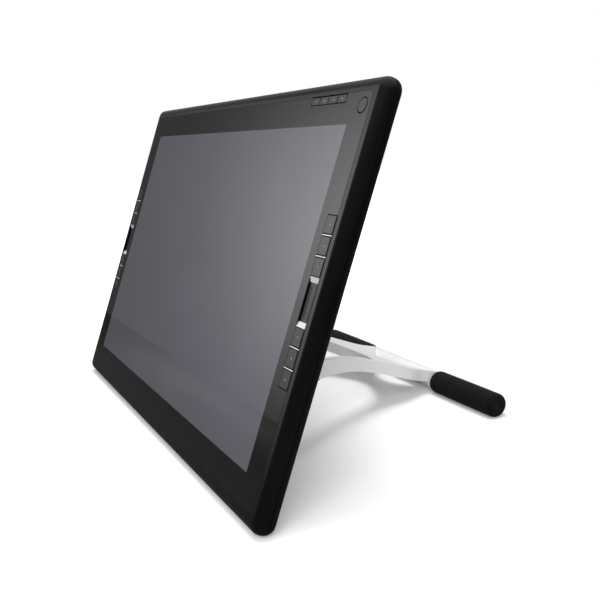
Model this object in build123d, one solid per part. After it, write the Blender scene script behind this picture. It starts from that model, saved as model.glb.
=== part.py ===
from build123d import *
import math
import os

os.makedirs("parts", exist_ok=True)

# Picture area and the glass over it (millimetres)
display_width = 408.24
display_height = 255.15
side_margin = 22.2
top_margin = 22.8
glass_thickness = 2.0
glass_corner = 4.0
glass_gap = 0.2
seal_thickness = 0.5
seal_inset = 0.5

# Housing around the glass
rim_width = 12.0
edge_thickness = 17.6
frame_depth = 10.0
front_round = 9.0
corner_spare = 1.0
rear_round = 7.0
cover_wall = 2.4
cover_rim = 5.0
seam_depth = 0.4
seam_height = 0.6
cut_over = 1.0

# Raised middle of the rear cover
hump_width = 320.0
hump_height = 190.0
hump_rise = 18.0
hump_corner = 26.0
hump_offset = 5.0
hump_draft = 30.0
hump_edge_round = 4.0

# How the tablet stands
lean_angle = 20.5
stand_depth = 287.0

# Rubber soles let into the lower edge
sole_length = 64.0
sole_spacing = 300.0
sole_recess = 1.0
sole_proud = 0.6
sole_half_angle = 20.0

# Display stack behind the glass
module_side = 7.0
module_top = 8.4
module_gap = 0.4
cell_thickness = 1.8
cell_lip = 1.0
glass_air_gap = 0.4
tray_depth = 6.8
sensor_thickness = 1.0
tail_width = 26.0
tail_depth = 4.8
shield_thickness = 0.5
chassis_thickness = 1.2
chassis_lap = 7.0
chassis_post_radius = 4.0
chassis_post_inset_x = 30.0
chassis_post_inset_y = 24.0

# Express keys and touch strips beside the picture
column_inset = 6.3
column_offset = 1.4
key_width = 12.0
key_height = 13.2
key_pitch = 15.15
key_start = 25.0
key_corner = 0.8
key_cap = 3.0
key_proud = 0.2
key_edge = 0.4
key_gap = 0.4
key_travel = 0.7
key_dot_radius = 0.9
key_dot_depth = 0.15
stem_radius = 1.9
stem_gap = 0.3
stem_length = 2.7
bay_floor = 1.6
divider_height = 1.2
strip_length = 28.2
strip_width = 10.6
strip_drop = 1.5
strip_groove = 0.3
strip_groove_width = 6.0

# Menu keys and the power key on the top border
menu_key_width = 12.2
menu_key_height = 6.0
menu_key_pitch = 12.5
menu_key_count = 4
menu_first_inset = 75.6
menu_top_inset = 3.6
menu_corner = 0.5
power_radius = 5.4
power_inset_x = 8.8
power_inset_y = 10.0

# Rubber mats and boards under the keys
mat_air = 0.1
mat_dome = 0.4
mat_dome_radius = 2.6
mat_thickness = 0.8
key_board_thickness = 1.2
mat_margin = 0.9
board_gap = 0.2
menu_pocket_side = 2.2
menu_pocket_low = 3.0

# Electronics in the raised middle
standoff_length = 8.0
standoff_radius = 3.0
board_width = 186.0
board_thickness = 1.6
board_hole_inset = 6.0
chip_size = 26.0
chip_height = 2.4
driver_width = 60.0
driver_height = 24.0
driver_gap = 10.0
driver_top_gap = 27.4
coil_radius = 7.0
coil_height = 8.0

# Sockets in the recess at the lower side
recess_width = 96.0
recess_depth = 14.0
recess_floor = 3.0
socket_gap = 0.3
socket_proud = 0.6
socket_shell = 0.8
socket_length = 16.0
video_width = 26.0
video_height = 10.4
usb_width = 12.0
usb_height = 10.6
dc_size = 9.6
dc_bore = 3.2
dc_pin = 1.0
dc_throat = 10.0
socket_throat = 9.0
tongue_share = 0.34
socket_pitch = 30.0

# Rear cover details
vesa_pitch = 100.0
vesa_hole = 1.65
vesa_boss = 5.0
vesa_boss_height = 8.0
vesa_offset = 20.0
vent_count = 9
vent_width = 2.4
vent_length = 40.0
vent_pitch = 6.6
vent_end_share = 0.49
vent_offset_x = 104.0
vent_offset_y = 52.0

# Housing screws
screw_inset = 9.0
screw_post = 4.6
screw_radius = 1.5
screw_head_radius = 2.8
screw_head_height = 1.8
screw_sink = 2.0
screw_side_share = 0.62
screw_bite = 5.0

# Friction hinges on the back
hinge_drop = 62.0
hinge_half_width = 126.0
bracket_width = 45.0
bracket_height = 40.0
bracket_plate = 2.5
bracket_lift = 8.0
bracket_corner = 4.0
bracket_screw_x = 32.0
bracket_screw_y = 24.0
bracket_post = 4.2
eye_radius = 9.0
eye_width = 16.0
eye_gap = 1.0
lug_thickness = 2.5
lug_radius = 9.6
washer_thickness = 1.0
washer_radius = 8.4
face_gap = 0.1
pin_radius = 4.0
pin_clearance = 0.05
pin_head_radius = 6.0
pin_head = 2.0

# Cast leg
waist_front_share = 0.756
waist_rear_share = 0.872
leg_skin = 3.4
leg_rim = 3.2
leg_wall_rear = 12.0
leg_wall_front = 17.0
leg_dish = 13.3
leg_rib = 2.6
rear_arm_width = 14.0
bar_radius = 10.0
leg_rib_length = 44.0
stud_radius = 3.2
stud_height = 3.0
stud_seat = 2.0
stud_wall = 1.6
stud_reach_share = 0.21
stud_width_share = 0.845

# Rod and foam grips at the leg's rear end
rod_radius = 5.0
grip_radius = 12.0
grip_inner = 62.0
grip_length = 95.0
grip_round = 5.5
rod_inset = 14.0

# Shares of hinge-to-rod reach and of hinge half width along each edge of the leg
front_edge_shares = [(0.198, 0.728), (0.385, 0.655), (0.497, 0.560), (0.590, 0.431)]
front_tip_shares = [(0.757, 0.226), (0.885, 0.095)]
outer_edge_shares = [(0.925, 0.226), (0.727, 0.431), (0.622, 0.590), (0.583, 0.740), (0.530, 0.860)]
rear_edge_shares = [(0.312, 0.956), (0.175, 0.900)]
# Height of the leg's top over the rod, as shares of the drop from hinge to rod, at shares of the reach
crown_front_shares = [(-0.12, 0.905), (0.02, 0.866), (0.226, 0.774), (0.431, 0.682)]
crown_rear_shares = [(0.613, 0.508), (0.795, 0.296), (0.986, 0.111), (1.10, 0.01)]
# Place and turn of each rib below the leg, from the middle outwards: half width share, reach share, degrees
rib_shares = [(0.42, 0.74, -40), (0.66, 0.50, -30), (0.83, 0.31, -28), (0.98, 0.13, -20), (0.45, 0.88, 20)]
grid_shares = [-1.2, -0.8, -0.4, 0, 0.4, 0.8, 1.2]
chip_place_shares = [(-0.25, 0.15), (0.18, 0.22), (0.30, -0.12)]

# Sizes that follow from the values above
glass_width = display_width + 2 * side_margin
glass_height = display_height + 2 * top_margin
frame_width = glass_width + 2 * rim_width
frame_height = glass_height + 2 * rim_width
frame_corner = front_round + corner_spare
half_width = frame_width / 2
half_height = frame_height / 2
glass_seat = glass_thickness + seal_thickness
module_width = display_width + 2 * module_side
module_height = display_height + 2 * module_top
window_width = module_width + 2 * module_gap
window_height = module_height + 2 * module_gap
tray_front = -glass_thickness - glass_air_gap
tray_back = tray_front - tray_depth
sensor_back = tray_back - sensor_thickness
shield_back = sensor_back - shield_thickness
chassis_back = shield_back - chassis_thickness
cover_floor = -edge_thickness + cover_wall
hump_back = -edge_thickness - hump_rise
hump_floor = hump_back + cover_wall
column_x = glass_width / 2 - column_inset
bay_length = 2 * (key_start + 2 * key_pitch) + key_height + 2 * key_gap
bay_width = key_width + 2 * key_gap
bay_bottom = key_proud - key_cap - key_travel - mat_air
pocket_top = bay_bottom - bay_floor
stem_bottom = key_proud - key_cap - stem_length
mat_top = stem_bottom - key_travel - mat_air - mat_dome
menu_y = glass_height / 2 - menu_top_inset
menu_x = glass_width / 2 - menu_first_inset
power_x = glass_width / 2 - power_inset_x
power_y = glass_height / 2 - power_inset_y
board_front = chassis_back - standoff_length
board_back = board_front - board_thickness
hump_low = hump_offset - hump_height / 2
recess_y = hump_low + recess_depth
board_low = recess_y + cover_wall + board_gap
board_top = hump_low + hump_height - driver_top_gap - driver_height - driver_gap
board_height = board_top - board_low
hinge_z = hump_back - bracket_plate - eye_gap - eye_radius

# The tablet leans back; heights and depths on the table follow from that
lean = math.radians(lean_angle)
round_y = half_height - rear_round
round_z = edge_thickness - rear_round
sole_radius = rear_round + sole_proud
lift = round_y * math.cos(lean) + round_z * math.sin(lean) + sole_radius
foot_y = round_z * math.cos(lean) - round_y * math.sin(lean)
front_y = (front_round * math.cos(lean) - (half_height - front_round) * math.sin(lean)) - front_round
rod_y = foot_y + stand_depth
middle_y = (front_y + rod_y + grip_radius) / 2
tablet_place = Location((0, -middle_y, lift)) * Rotation(90 - lean_angle, 0, 0)
hinge_y = hinge_z * -math.cos(lean) - hinge_drop * math.sin(lean)
hinge_height = lift + hinge_z * math.sin(lean) - hinge_drop * math.cos(lean)
reach = rod_y - hinge_y
drop = hinge_height - grip_radius


def slab(width, height, corner, low, high):
    """A plate with round corners between two depths, parallel to the glass."""
    return extrude(Pos(0, 0, low) * RectangleRounded(width, height, corner), amount=high - low)


def block(x, y, low, high, width, height):
    """A plain block centred on x, y between two depths."""
    return Pos(x, y, (low + high) / 2) * Box(width, height, high - low)


def rod_between(x, y, low, high, radius):
    """A round bar square to the glass."""
    return Pos(x, y, (low + high) / 2) * Cylinder(radius, high - low)


def cross_bar(x, y, z, radius, length):
    """A round bar along the tablet's width, centred on the point."""
    return Pos(x, y, z) * Rot(0, 90, 0) * Cylinder(radius, length)


def key_places():
    """Heights of the six keys of a column, from the top down."""
    upper = [column_offset + key_start + n * key_pitch for n in (2, 1, 0)]
    lower = [column_offset - key_start - n * key_pitch for n in (0, 1, 2)]
    return upper + lower


def menu_places():
    """Places of the four menu keys along the top border."""
    return [menu_x + n * menu_key_pitch for n in range(menu_key_count)]


def stem_places():
    """Places of all key stems: both columns, the menu keys and the power key."""
    columns = [(side * column_x, y) for side in (-1, 1) for y in key_places()]
    return columns + [(x, menu_y) for x in menu_places()] + [(power_x, power_y)]


def screw_places():
    """Housing screws: corners, middle of the long sides and two on each short side."""
    x = half_width - screw_inset
    y = half_height - screw_inset
    places = [(0, y), (0, -y)]
    for side in (-1, 1):
        for up in (-1, 1):
            places.append((side * x, up * y))
            places.append((side * x, up * y * screw_side_share))
    return places


def chassis_posts():
    """Places where the rear cover's posts carry the chassis."""
    x = window_width / 2 - chassis_post_inset_x
    y = window_height / 2 - chassis_post_inset_y
    return [(side * x, up * y) for side in (-1, 1) for up in (-1, 1)]


def menu_pocket(low, high, grow):
    """The space behind the menu keys and the power key, grown or shrunk all round."""
    left = menu_x - menu_key_width / 2 - menu_pocket_side - grow
    right = power_x + power_radius + menu_pocket_side + grow
    bottom = power_y - menu_pocket_low - grow
    top = menu_y + menu_key_height / 2 + board_gap + grow
    return block((left + right) / 2, (bottom + top) / 2, low, high, right - left, top - bottom)


def menu_notch(low, high, grow):
    """The slot for the four menu keys, open to the glass's top edge."""
    span = (menu_key_count - 1) * menu_key_pitch
    length = span + menu_key_width + 2 * grow
    middle = menu_x + span / 2
    bottom = menu_y - menu_key_height / 2 - grow
    top = glass_height / 2 + glass_gap
    return block(middle, (bottom + top) / 2, low, high, length, top - bottom)


def column_block(side, low, high, grow):
    """The slot for a column of keys, open to the glass's side edge."""
    inner = column_x - key_width / 2 - grow
    outer = glass_width / 2 + glass_gap
    length = bay_length - 2 * key_gap + 2 * grow
    return block(side * (inner + outer) / 2, column_offset, low, high, outer - inner, length)


def key_slots(low, high, grow):
    """All openings that the keys need through the border."""
    slots = menu_notch(low, high, grow) + rod_between(power_x, power_y, low, high, power_radius + grow)
    for side in (-1, 1):
        slots += column_block(side, low, high, grow)
    return slots


def make_front_frame():
    """Moulded front frame: rounded rim, seat for the glass, window and bays for the keys."""
    frame = slab(frame_width, frame_height, frame_corner, -frame_depth, 0)
    frame = fillet(frame.edges().group_by(Axis.Z)[-1], front_round)
    seat_width = glass_width + 2 * glass_gap
    seat_height = glass_height + 2 * glass_gap
    frame -= slab(seat_width, seat_height, glass_corner + glass_gap, -glass_seat, cut_over)
    below = -frame_depth - cut_over
    frame -= slab(window_width, window_height, glass_corner, below, cut_over)
    frame -= key_slots(bay_bottom, cut_over, key_gap)
    for side in (-1, 1):
        width = bay_width - 2 * mat_margin
        frame -= block(side * column_x, column_offset, below, pocket_top, width, bay_length)
    frame -= menu_pocket(below, pocket_top, 0)
    for x, y in stem_places():
        frame -= rod_between(x, y, pocket_top - cut_over, cut_over, stem_radius + stem_gap)
    for x, y in screw_places():
        frame -= rod_between(x, y, below, -frame_depth + screw_bite, screw_radius)
    seam_top = -frame_depth + seam_height
    seam = slab(frame_width + seam_depth, frame_height + seam_depth, frame_corner, -frame_depth, seam_top)
    core_width = frame_width - 2 * seam_depth
    core_height = frame_height - 2 * seam_depth
    core = slab(core_width, core_height, frame_corner - seam_depth, below, 0)
    return frame - (seam - core)


def make_cover_glass():
    """Flat cover glass with notches for the key columns and menu keys and a hole for the power key."""
    glass = slab(glass_width, glass_height, glass_corner, -glass_thickness, 0)
    return glass - key_slots(-glass_thickness - cut_over, cut_over, key_gap)


def make_glass_seal():
    """Adhesive frame between the glass and its seat."""
    width = glass_width - 2 * seal_inset
    height = glass_height - 2 * seal_inset
    below = -glass_seat - cut_over
    seal = slab(width, height, glass_corner, -glass_seat, -glass_thickness)
    seal -= slab(window_width + seal_inset, window_height + seal_inset, glass_corner, below, 0)
    return seal - key_slots(below, 0, key_gap + seal_inset / 2)


def make_display_cell():
    """Liquid crystal cell in the front of its tray."""
    width = module_width - 2 * cell_lip
    height = module_height - 2 * cell_lip
    return slab(width, height, glass_corner - cell_lip, tray_front - cell_thickness, tray_front)


def make_backlight_tray():
    """Backlight in its shallow metal tray, with a step for the cell."""
    tray = slab(module_width, module_height, glass_corner, tray_back, tray_front)
    width = module_width - 2 * cell_lip
    height = module_height - 2 * cell_lip
    return tray - slab(width, height, glass_corner - cell_lip, tray_front - cell_thickness, cut_over)


def make_sensor_board():
    """Pen sensor board, a sheet with a tail notch at its lower edge."""
    sheet = slab(module_width, module_height, glass_corner, sensor_back, tray_back)
    notch_low = sensor_back - cut_over
    return sheet - block(0, -module_height / 2, notch_low, tray_back + cut_over, tail_width, 2 * tail_depth)


def make_shield_plate():
    """Thin steel sheet that keeps the boards' field away from the pen sensor."""
    return slab(module_width, module_height, glass_corner, shield_back, sensor_back)


def make_chassis_plate():
    """Steel plate that ties the stack to the rear cover's posts."""
    width = module_width + chassis_lap
    height = module_height + chassis_lap
    plate = slab(width, height, glass_corner, chassis_back, shield_back)
    for x, y in board_corners():
        plate -= rod_between(x, y, chassis_back - cut_over, shield_back + cut_over, screw_radius)
    return plate


def board_corners():
    """Places of the main board's four standoffs."""
    middle = board_low + board_height / 2
    x = board_width / 2 - board_hole_inset
    y = board_height / 2 - board_hole_inset
    return [(side * x, middle + up * y) for side in (-1, 1) for up in (-1, 1)]


def make_standoffs():
    """Four tapped pillars between the chassis and the main board."""
    pillars = []
    for x, y in board_corners():
        bore = rod_between(x, y, board_front - cut_over, chassis_back + cut_over, screw_radius)
        pillars.append(rod_between(x, y, board_front, chassis_back, standoff_radius) - bore)
    return Compound(children=pillars)


def make_main_board():
    """Main board with its three large chips."""
    middle = board_low + board_height / 2
    board = block(0, middle, board_back, board_front, board_width, board_height)
    for across, up in chip_place_shares:
        x = across * board_width
        y = middle + up * board_height
        board += block(x, y, board_back - chip_height, board_back, chip_size, chip_size)
    for x, y in board_corners():
        board -= rod_between(x, y, board_back - cut_over, board_front + cut_over, screw_radius)
    return board


def make_driver_board():
    """Backlight driver board with two coils, standing against the chassis."""
    y = board_low + board_height + driver_gap + driver_height / 2
    board = block(0, y, chassis_back - board_thickness, chassis_back, driver_width, driver_height)
    for side in (-1, 1):
        low = chassis_back - board_thickness - coil_height
        board += rod_between(side * driver_width / 4, y, low, chassis_back - board_thickness, coil_radius)
    return board


def cover_outline():
    """Outside of the rear cover: flat pan with a rounded edge and the raised middle."""
    pan = slab(frame_width, frame_height, frame_corner, -edge_thickness, -frame_depth)
    pan = fillet(pan.edges().group_by(Axis.Z)[0], rear_round)
    base = Pos(0, hump_offset, cover_floor) * RectangleRounded(hump_width, hump_height, hump_corner)
    hump = extrude(base, amount=hump_back - cover_floor, taper=hump_draft)
    hump = fillet(hump.edges().group_by(Axis.Z)[0], hump_edge_round)
    return pan + hump


def recess_block(grow, wall):
    """The recess for the plugs, open downwards and to the rear."""
    low = hump_back - cut_over
    high = -edge_thickness - recess_floor + wall
    bottom = hump_low - hump_rise
    top = recess_y + wall
    return block(0, (bottom + top) / 2, low, high, recess_width + 2 * grow, top - bottom)


def socket_places():
    """Centre, width and height of the three sockets on the main board."""
    return {
        "video": (0, video_width, video_height),
        "usb": (socket_pitch, usb_width, usb_height),
        "dc": (-socket_pitch, dc_size, dc_size),
    }


def make_rear_cover():
    """Rear cover: hollow pan with posts, plug recess, vents and threaded mounting bosses."""
    cover = cover_outline() - recess_block(0, 0)
    inner_width = frame_width - 2 * cover_rim
    inner_height = frame_height - 2 * cover_rim
    hollow = slab(inner_width, inner_height, frame_corner - cover_rim, cover_floor, -frame_depth + cut_over)
    hump_in = cover_wall * (1 + math.tan(math.radians(hump_draft)))
    mouth_width = hump_width - 2 * hump_in
    mouth_height = hump_height - 2 * hump_in
    mouth = RectangleRounded(mouth_width, mouth_height, hump_corner - cover_wall)
    depth = hump_back - cover_floor
    hollow += extrude(Pos(0, hump_offset, cover_floor + cover_wall) * mouth, amount=depth, taper=hump_draft)
    hollow -= recess_block(cover_wall, cover_wall)
    for x, y in screw_places():
        hollow -= rod_between(x, y, cover_floor, -frame_depth, screw_post)
    for x, y in chassis_posts():
        hollow -= rod_between(x, y, cover_floor, chassis_back, chassis_post_radius)
    for x, y in vesa_places():
        hollow -= rod_between(x, y, hump_floor, hump_floor + vesa_boss_height, vesa_boss)
    for x, y in bracket_screw_places():
        hollow -= rod_between(x, y, hump_floor, hump_floor + vesa_boss_height, bracket_post)
    cover -= hollow
    below = -edge_thickness - cut_over
    for x, y in screw_places():
        cover -= rod_between(x, y, below, -frame_depth + cut_over, screw_radius)
        cover -= rod_between(x, y, below, -edge_thickness + screw_sink, screw_head_radius + stem_gap)
    for x, y in vesa_places():
        cover -= rod_between(x, y, hump_back - cut_over, hump_floor + vesa_boss_height / 2, vesa_hole)
    for x, y in bracket_screw_places():
        cover -= rod_between(x, y, hump_back - cut_over, hump_floor + vesa_boss_height / 2, screw_radius)
    for x, width, height in socket_places().values():
        low = board_back - height - socket_gap
        high = board_back + socket_gap
        hole_y = recess_y + cover_wall / 2
        cover -= block(x, hole_y, low, high, width + 2 * socket_gap, cover_wall + 2 * cut_over)
    for side in (-1, 1):
        for n in range(vent_count):
            x = side * vent_offset_x + (n - (vent_count - 1) / 2) * vent_pitch
            slot = RectangleRounded(vent_width, vent_length, vent_width * vent_end_share)
            slot = Pos(x, vent_offset_y, hump_back - cut_over) * slot
            cover -= extrude(slot, amount=cover_wall + 2 * cut_over)
    for side in (-1, 1):
        cover -= sole_solid(side, cut_over)
    return cover


def vesa_places():
    """Four threaded holes on a square, for a monitor arm."""
    half = vesa_pitch / 2
    return [(side * half, vesa_offset + up * half) for side in (-1, 1) for up in (-1, 1)]


def bracket_screw_places():
    """Four screws of each hinge bracket."""
    middle = bracket_lift - hinge_drop
    places = []
    for hinge in (-1, 1):
        for side in (-1, 1):
            for up in (-1, 1):
                x = hinge * hinge_half_width + side * bracket_screw_x / 2
                places.append((x, middle + up * bracket_screw_y / 2))
    return places


def sole_solid(side, extra):
    """Curved rubber sole along the rear lower edge, centred on the line that meets the table."""
    inner = rear_round - sole_recess
    outer = sole_radius + extra
    ring = Circle(outer) - Circle(inner)
    reach_out = 2 * outer
    spread = reach_out * math.tan(math.radians(sole_half_angle))
    wedge = make_face(Polyline((0, 0), (reach_out, -spread), (reach_out, spread), close=True))
    sector = (ring & wedge).face()
    section = Plane(origin=(0, 0, 0), x_dir=(0, -1, 0), z_dir=(1, 0, 0)) * Rot(0, 0, lean_angle) * sector
    sole = extrude(section, amount=sole_length / 2, both=True)
    return Pos(side * sole_spacing / 2, -round_y, -round_z) * sole


def socket_box(x, width, height, length):
    """Outer block of a socket seated on the board, its mouth just through the recess wall."""
    mouth = recess_y - socket_proud
    return block(x, mouth + length / 2, board_back - height, board_back, width, length)


def make_flat_socket(name):
    """Metal-shelled socket with a contact tongue in its mouth."""
    x, width, height = socket_places()[name]
    body = socket_box(x, width, height, socket_length)
    mouth = recess_y - socket_proud
    centre = board_back - height / 2
    inside_w = width - 2 * socket_shell
    inside_h = height - 2 * socket_shell
    low = centre - inside_h / 2
    throat_y = mouth + (socket_throat - cut_over) / 2
    throat = block(x, throat_y, low, low + inside_h, inside_w, socket_throat + cut_over)
    tongue_h = inside_h * tongue_share
    tongue_w = inside_w * (1 - tongue_share)
    tongue_y = mouth + socket_throat / 2 + socket_shell
    tongue_low = centre - tongue_h / 2
    tongue = block(x, tongue_y, tongue_low, tongue_low + tongue_h, tongue_w, socket_throat)
    return body - (throat - tongue)


def make_dc_socket():
    """Round power inlet with its centre pin."""
    x, width, height = socket_places()["dc"]
    body = socket_box(x, width, height, socket_length)
    mouth = recess_y - socket_proud
    centre = board_back - height / 2
    bore = Rot(90, 0, 0) * Cylinder(dc_bore, dc_throat + cut_over)
    bore = Pos(x, mouth + (dc_throat - cut_over) / 2, centre) * bore
    pin = Pos(x, mouth + dc_throat / 2 + socket_shell, centre) * Rot(90, 0, 0) * Cylinder(dc_pin, dc_throat)
    return body - (bore - pin)


def key_cap_solid(x, y, width, height, corner):
    """One key: bevelled cap with a stem below and a small sunk dot."""
    low = key_proud - key_cap
    cap = extrude(Pos(x, y, low) * RectangleRounded(width, height, corner), amount=key_cap)
    cap = chamfer(cap.edges().group_by(Axis.Z)[-1], key_edge)
    cap -= rod_between(x, y, key_proud - key_dot_depth, key_proud + cut_over, key_dot_radius)
    return cap + rod_between(x, y, low - stem_length, low, stem_radius)


def make_power_key():
    """Round power key with a shallow ring."""
    low = key_proud - key_cap
    cap = rod_between(power_x, power_y, low, key_proud, power_radius)
    cap = chamfer(cap.edges().group_by(Axis.Z)[-1], key_edge)
    return cap + rod_between(power_x, power_y, low - stem_length, low, stem_radius)


def make_key_mat(side):
    """Silicone mat with a dome under each key of a column."""
    width = bay_width - 2 * mat_margin - 2 * board_gap
    length = bay_length - 2 * board_gap
    mat = block(side * column_x, column_offset, mat_top - mat_thickness, mat_top, width, length)
    for y in key_places():
        mat += rod_between(side * column_x, y, mat_top, mat_top + mat_dome, mat_dome_radius)
    return mat


def make_key_board(side):
    """Board with the contacts for a column of keys."""
    width = bay_width - 2 * mat_margin - 2 * board_gap
    length = bay_length - 2 * board_gap
    high = mat_top - mat_thickness
    return block(side * column_x, column_offset, high - key_board_thickness, high, width, length)


def make_menu_mat():
    """Silicone mat with domes under the menu keys and the power key."""
    mat = menu_pocket(mat_top - mat_thickness, mat_top, -board_gap)
    for x in menu_places():
        mat += rod_between(x, menu_y, mat_top, mat_top + mat_dome, stem_radius)
    return mat + rod_between(power_x, power_y, mat_top, mat_top + mat_dome, stem_radius)


def make_menu_board():
    """Board with the contacts of the menu keys and the power key."""
    high = mat_top - mat_thickness
    return menu_pocket(high - key_board_thickness, high, -board_gap)


def make_touch_strip(side):
    """Touch strip let in below the keys' level, with a shallow finger groove."""
    x = side * column_x
    strip = block(x, column_offset, bay_bottom, -strip_drop, strip_width, strip_length)
    groove_length = strip_length - strip_groove_width
    groove_low = -strip_drop - strip_groove
    return strip - block(x, column_offset, groove_low, cut_over, strip_groove_width, groove_length)


def make_strip_ramps(side):
    """Two bright ramps that lead from the keys down to the touch strip."""
    near = strip_length / 2
    far = key_start - key_height / 2 - key_gap
    ramps = []
    for up in (-1, 1):
        section = Polyline((near, bay_bottom), (far, bay_bottom), (far, 0), (near, -strip_drop), close=True)
        face = Plane(origin=(0, 0, 0), x_dir=(0, up, 0), z_dir=(up, 0, 0)) * make_face(section)
        wedge = extrude(face, amount=key_width / 2, both=True)
        ramps.append(Pos(side * column_x, column_offset, 0) * wedge)
    return Compound(children=ramps)


def make_key_dividers(side):
    """Thin bright bars between the keys of a column."""
    places = key_places()
    bars = []
    for a, b in ((0, 1), (1, 2), (3, 4), (4, 5)):
        y = (places[a] + places[b]) / 2
        bars.append(block(side * column_x, y, bay_bottom, 0, bay_width, divider_height))
    return Compound(children=bars)


def screw_solid(x, y, head_low, tip):
    """Pan-head screw pointing into the tablet."""
    head_high = head_low + screw_head_height
    head = rod_between(x, y, head_low, head_high, screw_head_radius)
    return head + rod_between(x, y, head_high, tip, screw_radius)


def make_housing_screws():
    """Ten screws that hold the rear cover to the front frame."""
    low = -edge_thickness + screw_sink - screw_head_height
    tip = -frame_depth + screw_bite - screw_head_height / 2
    return Compound(children=[screw_solid(x, y, low, tip) for x, y in screw_places()])


def make_bracket_screws():
    """Eight screws that hold the two hinge brackets."""
    low = hump_back - bracket_plate - screw_head_height
    tip = hump_floor + vesa_boss_height / 2 - screw_head_height / 2
    return Compound(children=[screw_solid(x, y, low, tip) for x, y in bracket_screw_places()])


def make_hinge_bracket(side):
    """Steel bracket: screwed base plate with two rounded lugs for the hinge pin."""
    x = side * hinge_half_width
    middle = bracket_lift - hinge_drop
    base_low = hump_back - bracket_plate
    plate = Pos(x, middle, base_low) * RectangleRounded(bracket_width, bracket_height, bracket_corner)
    bracket = extrude(plate, amount=bracket_plate)
    offset_x = eye_width / 2 + 2 * face_gap + washer_thickness + lug_thickness / 2
    for end in (-1, 1):
        lug = cross_bar(x + end * offset_x, -hinge_drop, hinge_z, lug_radius, lug_thickness)
        lug += block(x + end * offset_x, -hinge_drop, hinge_z, base_low, lug_thickness, 2 * lug_radius)
        bracket += lug
    bracket -= cross_bar(x, -hinge_drop, hinge_z, pin_radius, bracket_width)
    for sx in (-1, 1):
        for up in (-1, 1):
            hole_x = x + sx * bracket_screw_x / 2
            hole_y = middle + up * bracket_screw_y / 2
            bracket -= rod_between(hole_x, hole_y, base_low - cut_over, hump_back + cut_over, screw_radius)
    return bracket


def make_hinge_pin(side):
    """Shouldered hinge pin with a riveted end."""
    x = side * hinge_half_width
    half = eye_width / 2 + 2 * face_gap + washer_thickness + lug_thickness
    pin = cross_bar(x, -hinge_drop, hinge_z, pin_radius, 2 * half)
    for end in (-1, 1):
        pin += cross_bar(x + end * (half + pin_head / 2), -hinge_drop, hinge_z, pin_head_radius, pin_head)
    return pin


def make_washers(side):
    """Two friction washers, one each side of the leg's eye."""
    x = side * hinge_half_width
    offset_x = eye_width / 2 + face_gap + washer_thickness / 2
    rings = []
    for end in (-1, 1):
        ring_x = x + end * (offset_x + face_gap)
        ring = cross_bar(ring_x, -hinge_drop, hinge_z, washer_radius, washer_thickness)
        rings.append(ring - cross_bar(ring_x, -hinge_drop, hinge_z, pin_radius, eye_width))
    return Compound(children=rings)


def leg_point(point, inset, before, after):
    """A plan point of the leg, moved square to its edge by the inset, to the left of the way along it."""
    dx = after[0] - before[0]
    dy = after[1] - before[1]
    size = math.hypot(dx, dy)
    return (point[0] - dy / size * inset, point[1] + dx / size * inset)


def leg_edge(points, inset):
    """The points of one edge of the leg, all moved inwards by the inset."""
    moved = []
    last = len(points) - 1
    for n, point in enumerate(points):
        before = points[max(n - 1, 0)]
        after = points[min(n + 1, last)]
        moved.append(leg_point(point, inset, before, after))
    return moved


def leg_plan(inset):
    """Half of the leg seen from above, from the middle line outwards, with straight tips at the hinge."""
    y0 = hinge_y
    scale = lambda pairs: [(a * hinge_half_width, y0 + b * reach) for a, b in pairs]
    tip_y = y0 + lug_radius
    eye_in = (hinge_half_width - eye_width / 2, tip_y)
    eye_out = (hinge_half_width + eye_width / 2, tip_y)
    rear_out = (grip_inner - face_gap, rod_y - grip_radius)
    rear_end = (grip_inner - face_gap, rod_y)
    rear_in = (grip_inner - face_gap - rear_arm_width, rod_y)
    waist_front = (0, y0 + waist_front_share * reach)
    waist_rear = (0, y0 + waist_rear_share * reach)
    front = leg_edge([waist_front] + scale(front_edge_shares + front_tip_shares) + [eye_in], inset)
    outer = leg_edge([eye_out] + scale(outer_edge_shares) + [rear_out], inset)
    rear = leg_edge([rear_in] + scale(rear_edge_shares) + [waist_rear], inset)
    front[0] = (0, front[0][1])
    rear[-1] = (0, rear[-1][1])
    edges = [Spline(*front, tangents=[(1, 0), (0, -1)])]
    tip = [front[-1], (front[-1][0], y0), (outer[0][0], y0), outer[0]]
    edges += [Line(a, b) for a, b in zip(tip, tip[1:])]
    edges.append(Spline(*outer, tangents=[(0, 1), (0, 1)]))
    end = (rear_end[0] - inset, rear_end[1])
    edges.append(Line(outer[-1], end))
    edges.append(Line(end, rear[0]))
    edges.append(Spline(*rear, tangents=[(0, -1), (-1, 0)]))
    edges.append(Line(rear[-1], front[0]))
    return make_face(edges)


def crown_surface(lower, front_extra):
    """Dished top of the leg, lowered by a depth that grows towards the hinge by the extra."""
    rows = []
    for along, height in crown_front_shares + crown_rear_shares:
        depth = lower + front_extra * max(1 - along, 0) ** 2
        row = []
        for across in grid_shares:
            z = grip_radius + height * drop + leg_dish * across ** 2 - depth
            row.append((across * hinge_half_width, hinge_y + along * reach, z))
        rows.append(row)
    return Face.make_surface_from_array_of_points([[Vector(*p) for p in row] for row in rows])


def under_crown(lower, front_extra):
    """All space below the leg's crown, down past the table."""
    return extrude(crown_surface(lower, front_extra), amount=3 * drop, dir=(0, 0, -1))


def both_halves(half):
    """A half of the leg joined with its mirror image."""
    return half + mirror(half, about=Plane.YZ)


def stud_column(side, radius):
    """Upright round column through the leg at a rubber stud's place."""
    tall = hinge_height + drop
    x = side * stud_width_share * hinge_half_width
    return Pos(x, hinge_y + stud_reach_share * reach, tall / 2) * Cylinder(radius, tall)


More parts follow.
